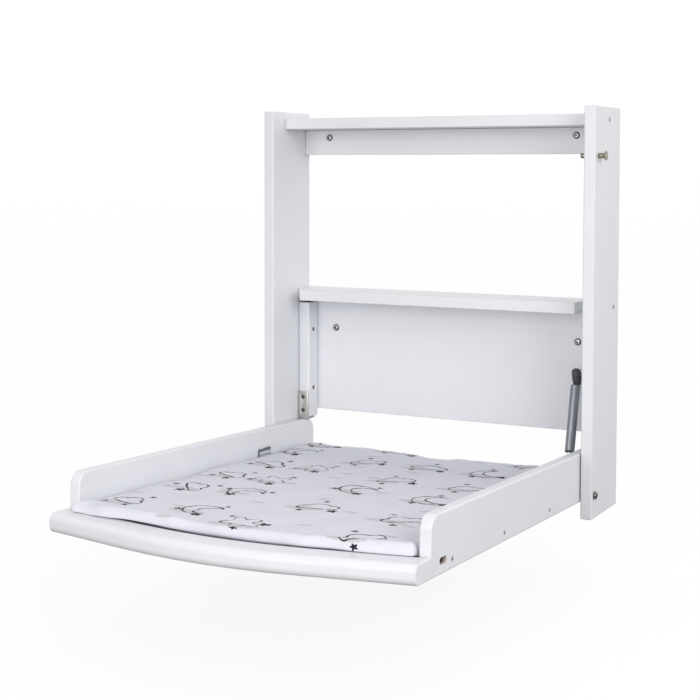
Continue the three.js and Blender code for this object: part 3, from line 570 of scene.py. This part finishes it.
def add_studs(foot):
    """Ball studs, the upper one with a round flange, and the turned lower mount."""
    ball = [(r * MM, h * MM) for r, h in ball_profile(2.6)]
    upper = ball + [(2.6 * MM, 5 * MM), (2.6 * MM, 12.2 * MM), (5.2 * MM, 12.2 * MM), (6 * MM, 12.8 * MM),
                    (6 * MM, 16.2 * MM), (5.2 * MM, 16.7 * MM), (2.6 * MM, 16.7 * MM), (2.6 * MM, 28 * MM), (0, 29 * MM)]
    lower = ball + [(2.6 * MM, 5 * MM), (2.6 * MM, 9.2 * MM), (2.2 * MM, 9.5 * MM), (0, 9.5 * MM)]
    for node, body, profile, at in (("strut_upper_stud", "wall_frame", upper, STRUT_TOP),
                                    ("strut_lower_ball", "strut_rod", lower, foot)):
        mesh = lathe(node, profile, 40)
        mesh.transform(aimed(at, X_AXIS))
        piece(node + "_turned", smooth_shaded(mesh, 30), body, DARK_ZINC, (node,))
    low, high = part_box("strut_lower_mount")
    boss = [(0, 0), (5.4, 0), (6, 0.6), (6, 7.1), (7.8, 7.3), (8.4, 7.9), (8.4, 10.3), (2.6, 10.3), (2.6, 22.1),
            (0, 22.6)]
    mesh = lathe("strut_lower_mount", [(r * MM, h * MM) for r, h in boss], 40)
    mesh.transform(aimed(Vector((low.x, (low.y + high.y) / 2, (low.z + high.z) / 2)), X_AXIS))
    piece("strut_lower_mount_turned", smooth_shaded(mesh, 30), "tray", STEEL, ("strut_lower_mount",))


add_strut()


# Lock pin: a chamfered tip and a flared head

def add_lock_pin():
    low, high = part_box("lock_pin")
    at = Vector((low.x, (low.y + high.y) / 2, (low.z + high.z) / 2))
    profile = [(0, 0), (2.6, 0), (4, 1.6), (4, 12), (3.6, 12.4), (3.6, 13.6), (4, 14), (4, 34.6), (4.4, 36.4),
               (5.4, 37.8), (7.0, 38.9), (7.2, 39.4), (7.2, 40), (6.8, 40.3), (0, 40.3)]
    mesh = lathe("lock_pin", filleted([(r * MM, h * MM) for r, h in profile], 0.5 * MM), 48)
    mesh.transform(aimed(at, X_AXIS))
    piece("lock_pin_turned", smooth_shaded(mesh, 30), "lock_pin", BRONZE, ("lock_pin",))


add_lock_pin()


# Changing mat: a padded cotton cover, filled by a cloth simulation

MAT_TAIL = 78 * MM
MAT_HALF = 249 * MM
MAT_LENGTH = 660 * MM
MAT_BACK_CORNER = 24 * MM
MAT_FRONT_CORNER = 6 * MM
MAT_FRONT = 590 * MM  # middle of its front edge ahead of the pivot
MAT_FRONT_DROPS = (14.5 * MM, 29 * MM)  # how far its left and right corners stand back from that
MAT_STEP = 6 * MM
MAT_FILL = 15 * MM
MAT_LIP_FILL = -0.6 * MM  # more of it over the lip
MAT_RIM = 0.16  # height of the seam as a share of the fill
MAT_TOP_ROUND = 8 * MM
MAT_LOW_ROUND = 2.4 * MM
MAT_TOP_LIMIT = 29.5 * MM
MAT_LIFTS = ((-140 * MM, 45 * MM, 1.8 * MM), (-8 * MM, 45 * MM, 1.5 * MM))  # where its front stands off
MAT_SWELL_LIMIT = 2 * MM
TRAY_INNER = 250.4 * MM
TRAY = Matrix.Translation(PIVOT) @ Matrix.Rotation(-PITCH, 4, "X")


def smooth_step(t):
    t = np.clip(t, 0, 1)
    return t * t * (3 - 2 * t)


def lip_back(x):
    """How far ahead of the pivot the bowed lip starts."""
    wave = 400 * MM
    ends = math.cos(math.pi * 266.4 * MM / wave)
    return 552.3 * MM + 45 * MM * (np.cos(np.pi * x / wave) - ends) / (1 - ends)


def mat_seat(x, ahead):
    """Height of what the mat lies on: the floor, or the lip under its front corners."""
    climb = smooth_step((ahead - lip_back(x) + 26 * MM) / (22 * MM))
    lifted = sum(height * np.exp(-((x - at) / width) ** 2) for at, width, height in MAT_LIFTS)
    return FLOOR_HEIGHT + 0.4 * MM + (LIP_HEIGHT - FLOOR_HEIGHT + lifted) * climb


def mat_stations(length, near):
    """Places along a span, close together at both ends, where the mat turns over."""
    count = round((length - 2 * near[-1]) / MAT_STEP)
    middle = np.linspace(near[-1], length - near[-1], count + 1)[1:-1]
    return np.concatenate([near, middle, length - near[::-1]]) / length


def corner_inset(from_end, radius):
    """How far a rounded corner draws a side in, at a distance from its end."""
    reach = radius - np.minimum(from_end, radius)
    return radius - np.sqrt(radius ** 2 - reach ** 2)


def ripple(place, waves):
    """A sum of waves over a place, each with its length, height and start."""
    return sum(height * np.sin(2 * np.pi * place / length + start) for length, height, start in waves)


def mat_grid():
    """Places of the mat's stations: across, ahead, and how far each lies inside the edge."""
    near = np.array([0, 0.8, 2.6, 5.4, 9, 14]) * MM
    stations = mat_stations(MAT_LENGTH, near), mat_stations(2 * MAT_HALF, near)
    along, across = np.meshgrid(*stations, indexing="ij")
    from_back, from_front = along * MAT_LENGTH, (1 - along) * MAT_LENGTH
    corner = corner_inset(from_back, MAT_BACK_CORNER) + corner_inset(from_front, MAT_FRONT_CORNER)
    drawn = 1.2 * MM * np.sin(np.pi * along)
    beside_strut = 40 * MM * (1 - smooth_step((from_back - MAT_TAIL + 6 * MM) / (30 * MM)))
    left = -MAT_HALF + drawn + corner
    right = MAT_HALF - drawn - corner - beside_strut
    x = left + (right - left) * across
    drop = np.where(x < 0, *MAT_FRONT_DROPS) * (x / MAT_HALF) ** 2
    front = MAT_FRONT - drop + ripple(x, ((96 * MM, 1.1 * MM, 1.0), (61 * MM, 0.7 * MM, 2.5)))
    ahead = -MAT_TAIL + along * (front + MAT_TAIL)
    inside = np.minimum(np.minimum(from_back, from_front), np.minimum(x - left, right - x))
    return x, ahead, inside


def mat_thickness(x, ahead, inside, seat):
    """The filling: thinner in the middle of the back edge and over the lip, uneven, and puckered by the seam."""
    sag = 4.5 * MM * np.exp(-((x - 10 * MM) / (95 * MM)) ** 2) * smooth_step((20 * MM - ahead) / (90 * MM))
    uneven = ripple(x + 0.6 * ahead, ((137 * MM, 0.5 * MM, 0.7), (83 * MM, 0.3 * MM, 2.1)))
    uneven += ripple(x - 0.8 * ahead, ((171 * MM, 0.5 * MM, 4.0), (109 * MM, 0.3 * MM, 1.3)))
    puckers = ripple(x + ahead, ((41 * MM, 0.5 * MM, 0.3), (26 * MM, 0.4 * MM, 1.9)))
    uneven += puckers * np.exp(-inside / (12 * MM))
    climbed = np.minimum(1, (seat - FLOOR_HEIGHT) / (LIP_HEIGHT - FLOOR_HEIGHT))
    return MAT_FILL - sag + uneven + MAT_LIP_FILL * climbed


def quarter_round(inside, radius):
    return np.sqrt(1 - (1 - np.clip(inside / radius, 0, 1)) ** 2)


def mat_unfilled():
    """The mat before filling: vertices in the tray's own frame, faces, and which vertices rest on the tray."""
    x, ahead, inside = mat_grid()
    seat = mat_seat(x, ahead)
    fill = mat_thickness(x, ahead, inside, seat)
    rows, columns = x.shape
    rim = np.zeros((rows, columns), bool)
    rim[[0, -1], :] = True
    rim[:, [0, -1]] = True
    above = seat + fill * (MAT_RIM + (1 - MAT_RIM) * quarter_round(inside, MAT_TOP_ROUND))
    below = seat + fill * MAT_RIM * (1 - quarter_round(inside, MAT_LOW_ROUND))
    top = np.stack([x, -ahead, above], -1).reshape(-1, 3)
    low = np.stack([x, -ahead, below], -1).reshape(-1, 3)
    top_index = np.arange(rows * columns).reshape(rows, columns)
    low_index = np.where(rim, top_index, -1)
    low_index[~rim] = rows * columns + np.arange((~rim).sum())
    points = np.concatenate([top, low[~rim.ravel()]])
    faces = []
    for row in range(rows - 1):
        for column in range(columns - 1):
            ring = [(row, column), (row, column + 1), (row + 1, column + 1), (row + 1, column)]
            faces.append([int(top_index[k]) for k in ring[::-1]])
            faces.append([int(low_index[k]) for k in ring])
    resting = np.concatenate([np.zeros(rows * columns, bool), (inside > 2 * MM)[~rim]])
    return points, faces, resting


def mat_filled(obj, resting):
    """Blows the cover up as cloth, with its resting side held, and gives the new places."""
    held = obj.vertex_groups.new(name="held")
    held.add([int(k) for k in np.flatnonzero(resting)], 1.0, "REPLACE")
    cloth = obj.modifiers.new("cloth", "CLOTH")
    cloth.settings.quality = 6
    cloth.settings.mass = 0.15
    cloth.settings.bending_stiffness = 0.6
    cloth.settings.vertex_group_mass = "held"
    cloth.settings.use_pressure = True
    cloth.settings.uniform_pressure_force = 4.0
    cloth.settings.shrink_min = -0.012
    cloth.settings.effector_weights.gravity = 0
    cloth.collision_settings.use_collision = False
    cloth.point_cache.frame_end = 20
    scene = bpy.context.scene
    for step in range(1, 21):
        scene.frame_set(step)
    evaluated = obj.evaluated_get(bpy.context.evaluated_depsgraph_get())
    places = np.array([v.co for v in evaluated.data.vertices])
    obj.modifiers.remove(cloth)
    obj.vertex_groups.clear()
    scene.frame_set(1)
    return places


def mat_settled(before, after):
    """Limits how far the cover swells, and keeps it inside the tray."""
    moved = after - before
    far = np.linalg.norm(moved, axis=1, keepdims=True)
    places = before + moved * np.minimum(1, MAT_SWELL_LIMIT / np.maximum(far, 1e-9))
    places[:, 0] = np.clip(places[:, 0], 0.6 * MM - TRAY_INNER, TRAY_INNER - 0.6 * MM)
    places[:, 2] = np.maximum(places[:, 2], mat_seat(places[:, 0], -places[:, 1]))
    places[:, 2] = np.minimum(places[:, 2], MAT_TOP_LIMIT)
    return places


def add_mat():
    points, faces, resting = mat_unfilled()
    mesh = bpy.data.meshes.new("changing_mat_pad")
    mesh.from_pydata([tuple(p) for p in points], [], faces)
    obj = bpy.data.objects.new("changing_mat_pad", mesh)
    bpy.context.scene.collection.objects.link(obj)
    points = mat_settled(points, mat_filled(obj, resting))
    mesh.vertices.foreach_set("co", points.ravel())
    bpy.data.objects.remove(obj)
    mesh.transform(TRAY)
    mesh.update()
    smooth_shaded(mesh, 180)
    pad = piece("changing_mat_pad", mesh, "tray", cotton(), ("changing_mat",))
    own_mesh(pad)
    finer = pad.modifiers.new("finer", "SUBSURF")
    finer.levels = finer.render_levels = 1


TAG_START = 56  # millimetres ahead of the pivot
TAG_FRONT_BORDER = 91 * MM  # where its slate border starts, ahead of the pivot
TAG_TOP_BAND = 27.6 * MM  # where the slate band along its fold starts, above the pivot
TAG_STRIPE = (22.4 * MM, 1.6 * MM)  # middle and half the width of the grey stripe


def add_tag():
    """A bare woven tag, folded over and sewn into the mat's left seam."""
    legs = [(-249.5, 15.0), (-249.7, 22.0), (-249.6, 29.0), (-249.4, 31.6), (-248.9, 32.3), (-248.4, 31.6),
            (-248.3, 29.0), (-248.2, 22.0), (-247.9, 15.0)]
    section = filleted(legs, 0.8, 3)
    rows = []
    for step in range(13):
        ahead = TAG_START + 3 * step
        lean = 0.35 * math.sin(step * 0.8)
        rise = 0.6 * math.sin(step * 0.45 + 0.6)
        rows.append([((x + lean * (u - 15) / 17) * MM, -ahead * MM, (u + rise) * MM) for x, u in section])
    points = [p for row in rows for p in row]
    count = len(section)
    faces = []
    for row in range(len(rows) - 1):
        for k in range(count - 1):
            at = row * count + k
            faces.append((at, at + 1, at + count + 1, at + count))
    mesh = bpy.data.meshes.new("mat_tag")
    mesh.from_pydata(points, [], faces)
    mesh.transform(TRAY)
    tag = piece("mat_tag", smooth_shaded(mesh, 60), "tray", ribbon())
    thick = tag.modifiers.new("thickness", "SOLIDIFY")
    thick.thickness = 0.3 * MM


def ribbon():
    """Pale satin ribbon, with a slate band along its fold, a slate border and a grey stripe."""
    g = Graph("woven_ribbon")
    from_pivot = g.vector("SUBTRACT", g.place(), tuple(PIVOT))
    up = g.vector("DOT_PRODUCT", from_pivot, tuple(TRAY_UP))
    ahead = g.vector("DOT_PRODUCT", from_pivot, tuple(TRAY_FORWARD))
    band = g.math("GREATER_THAN", up, TAG_TOP_BAND)
    slate = g.math("MAXIMUM", band, g.math("GREATER_THAN", ahead, TAG_FRONT_BORDER))
    striped = g.mix(g.math("COMPARE", up, *TAG_STRIPE), (0.62, 0.63, 0.66), (0.36, 0.37, 0.40))
    g.set(Base_Color=g.mix(slate, striped, (0.105, 0.115, 0.14)))
    g.set(Roughness=g.remap(g.noise(700.0, 2.0), 0.3, 0.7, 0.45, 0.65), Sheen_Weight=0.2)
    g.set(Normal=g.bump(g.noise(2200.0, 2.0), 0.00006, 0.5))
    return g.material


def cotton():
    """White cotton printed with drawn stars, moons and clouds, small black stars and pale grey spots."""
    g = Graph("printed_cotton")
    place = g.place()
    across = g.vector("DOT_PRODUCT", place, (1, 0, 0))
    along = g.vector("DOT_PRODUCT", place, (0, 1 + math.sin(PITCH), math.cos(PITCH)))
    flat = g.node("CombineXYZ", X=across, Y=along).outputs[0]
    ink, spots = print_masks(g, flat)
    tone = g.remap(g.noise(30.0, 4.0, 0.6), 0.3, 0.7, 0.0, 1.0)
    cloth = g.mix(tone, (0.700, 0.704, 0.775), (0.730, 0.734, 0.80))
    spotted = g.mix(spots, cloth, (0.587, 0.588, 0.615))
    g.set(Base_Color=g.mix(ink, spotted, (0.022, 0.022, 0.026)))
    g.set(Roughness=g.remap(g.noise(260.0, 3.0), 0.3, 0.7, 0.80, 0.95))
    g.set(Sheen_Weight=0.06, Sheen_Roughness=0.5, Specular_IOR_Level=0.15)
    threads = g.math("ADD", weave(g, flat, "X"), weave(g, flat, "Y"))
    slack = g.bump(g.noise(26.0, 3.0, 0.55), 0.004, 0.22)
    g.set(Normal=g.bump(threads, 0.00008, 0.5, slack))
    return g.material


def weave(g, flat, direction):
    made = g.node("TexWave", Vector=flat, Scale=440.0, Distortion=1.2, Detail=2.0)
    made.wave_type = "BANDS"
    made.bands_direction = direction
    return made.outputs["Factor" if "Factor" in made.outputs else "Fac"]


def circle_distance(g, at, middle, radius):
    return g.math("SUBTRACT", g.vector("DISTANCE", at, (*middle, 0)), radius)


def star_distance(g, at, size):
    parts = g.node("SeparateXYZ", Vector=at).outputs
    lobes = g.math("COSINE", g.math("MULTIPLY", g.math("ARCTAN2", parts[1], parts[0]), 5.0))
    edge = g.math("MULTIPLY_ADD", lobes, 0.24 * size, 0.80 * size)
    return g.math("SUBTRACT", g.vector("LENGTH", at), edge)


def moon_distance(g, at, size):
    bite = circle_distance(g, at, (0.46 * size, 0.14 * size), 0.76 * size)
    return g.math("MAXIMUM", circle_distance(g, at, (0, 0), size), g.math("MULTIPLY", bite, -1.0))


def cloud_distance(g, at, size):
    humps = (((-0.62, -0.10), 0.42), ((-0.05, 0.16), 0.60), ((0.62, -0.08), 0.44))
    shape = None
    for (x, y), radius in humps:
        one = circle_distance(g, at, (x * size, y * size), radius * size)
        shape = one if shape is None else g.math("MINIMUM", shape, one)
    height = g.node("SeparateXYZ", Vector=at).outputs[1]
    base = g.math("SUBTRACT", -0.38 * size, height)
    return g.math("MAXIMUM", shape, base)


def print_masks(g, flat):
    """Where the ink and the grey spots of the print lie."""
    wobble = g.node("TexNoise", Vector=flat, Scale=45.0, Detail=1.0).outputs["Color"]
    drawn = g.vector("ADD", flat, g.vector("SCALE", g.vector("SUBTRACT", wobble, (0.5, 0.5, 0.5)), scale=0.006))
    cells = g.node("TexVoronoi", Vector=drawn, Scale=1 / 0.118, Randomness=0.5)
    cells.voronoi_dimensions = "2D"
    chance = g.node("SeparateXYZ", Vector=cells.outputs["Color"]).outputs
    local = g.vector("SUBTRACT", drawn, cells.outputs["Position"])
    turned = g.node("VectorRotate", Vector=local, Angle=g.math("MULTIPLY_ADD", chance[1], 2.2, -1.1))
    turned.rotation_type = "Z_AXIS"
    at = g.vector("MULTIPLY", turned.outputs[0], (1, 1, 0))
    star, moon, cloud = star_distance(g, at, 0.027), moon_distance(g, at, 0.027), cloud_distance(g, at, 0.027)
    rest = g.node("Mix", Factor=g.math("GREATER_THAN", chance[0], 0.62), A=moon, B=cloud).outputs[0]
    shape = g.node("Mix", Factor=g.math("GREATER_THAN", chance[0], 0.34), A=star, B=rest).outputs[0]
    width = g.remap(g.node("TexNoise", Vector=flat, Scale=120.0).outputs[0], 0.35, 0.65, 0.0006, 0.0021)
    line = g.math("LESS_THAN", g.math("ABSOLUTE", shape), width)
    small = None
    for x, y, size in ((0.023, -0.021, 0.0080), (-0.021, -0.025, 0.0056), (0.002, 0.037, 0.0050)):
        one = g.math("LESS_THAN", star_distance(g, g.vector("SUBTRACT", at, (x, y, 0)), size), 0.0)
        small = one if small is None else g.math("MAXIMUM", small, one)
    shade = g.vector("DISTANCE", g.vector("MULTIPLY", local, (0.45, 1.3, 0)), (-0.006, -0.022, 0))
    loose = g.node("TexVoronoi", Vector=g.vector("MULTIPLY", drawn, (0.55, 1.25, 1)), Scale=1 / 0.085, Randomness=0.8)
    loose.voronoi_dimensions = "2D"
    spots = g.math("MAXIMUM", g.math("LESS_THAN", shade, 0.013), g.math("LESS_THAN", loose.outputs["Distance"], 0.075))
    return g.math("MAXIMUM", line, small), spots


add_mat()
add_tag()


# Stage

def add_camera():
    data = bpy.data.cameras.new("camera")
    data.sensor_width = SENSOR
    data.lens = FOCAL_PIXELS / FRAME_PIXELS * SENSOR
    data.shift_y = SHIFT_Y
    obj = bpy.data.objects.new("camera", data)
    bpy.context.scene.collection.objects.link(obj)
    azimuth, elevation = math.radians(CAMERA_AZIMUTH), math.radians(CAMERA_ELEVATION)
    back = Vector((math.sin(azimuth) * math.cos(elevation), -math.cos(azimuth) * math.cos(elevation),
                   math.sin(elevation)))
    roll = Matrix.Rotation(math.radians(CAMERA_ROLL), 4, "Z")
    turn = (-back).to_track_quat("-Z", "Y").to_matrix().to_4x4()
    obj.matrix_world = Matrix.Translation(CAMERA_PLACE) @ turn @ roll
    bpy.context.scene.camera = obj


def add_floor(height=-0.66, reach=80.0):
    """A pale floor that glows as a lit studio sweep does, and only takes a faint shadow."""
    mesh = bpy.data.meshes.new("floor")
    corners = [(-reach, -reach, height), (reach, -reach, height), (reach, reach, height), (-reach, reach, height)]
    mesh.from_pydata(corners, [], [(0, 1, 2, 3)])
    obj = bpy.data.objects.new("floor", mesh)
    bpy.context.scene.collection.objects.link(obj)
    g = Graph("pale_floor")
    g.set(Base_Color=(0.11, 0.11, 0.11, 1), Roughness=0.9, Specular_IOR_Level=0.1)
    g.set(Emission_Color=(1, 1, 1, 1), Emission_Strength=0.88)
    mesh.materials.append(g.material)
    obj.visible_diffuse = obj.visible_glossy = obj.visible_shadow = False
    g.material.cycles.emission_sampling = "NONE"


def add_light(name, place, target, size, watts):
    data = bpy.data.lights.new(name, "AREA")
    data.shape = "DISK"
    data.size = size
    data.energy = watts
    obj = bpy.data.objects.new(name, data)
    bpy.context.scene.collection.objects.link(obj)
    aim = Vector(target) - Vector(place)
    obj.matrix_world = Matrix.Translation(place) @ aim.to_track_quat("-Z", "Y").to_matrix().to_4x4()


def add_world(front, behind, below):
    """Light from a white backdrop behind the station, a dimmer room in front and a dim floor. It looks white."""
    world = bpy.data.worlds.new("studio")
    world.use_nodes = True
    nodes, links = world.node_tree.nodes, world.node_tree.links
    parts = nodes.new("ShaderNodeSeparateXYZ")
    links.new(nodes.new("ShaderNodeTexCoord").outputs["Generated"], parts.inputs[0])
    level, rise = nodes.new("ShaderNodeMapRange"), nodes.new("ShaderNodeMapRange")
    links.new(parts.outputs["Y"], level.inputs["Value"])
    links.new(parts.outputs["Z"], rise.inputs["Value"])
    for key, value in (("From Min", -0.1), ("From Max", 0.35), ("To Min", front), ("To Max", behind)):
        level.inputs[key].default_value = value
    for key, value in (("From Min", -0.3), ("From Max", -0.02), ("To Min", below)):
        rise.inputs[key].default_value = value
    links.new(level.outputs[0], rise.inputs["To Max"])
    seen = nodes.new("ShaderNodeMath")
    seen.operation = "MAXIMUM"
    links.new(rise.outputs[0], seen.inputs[0])
    links.new(nodes.new("ShaderNodeLightPath").outputs["Is Camera Ray"], seen.inputs[1])
    links.new(seen.outputs[0], nodes["Background"].inputs["Strength"])
    nodes["Background"].inputs["Color"].default_value = (1, 1, 1, 1)
    bpy.context.scene.world = world


add_camera()
add_floor()
add_world(0.52, 1.04, 0.27)
add_light("front", (-0.3, -3.31, 0.07), (0, -0.35, -0.35), 2.0, 37)
add_light("right", (2.44, -1.76, 0.68), (0, -0.35, -0.35), 2.0, 40)
bpy.context.scene.view_settings.view_transform = "Standard"
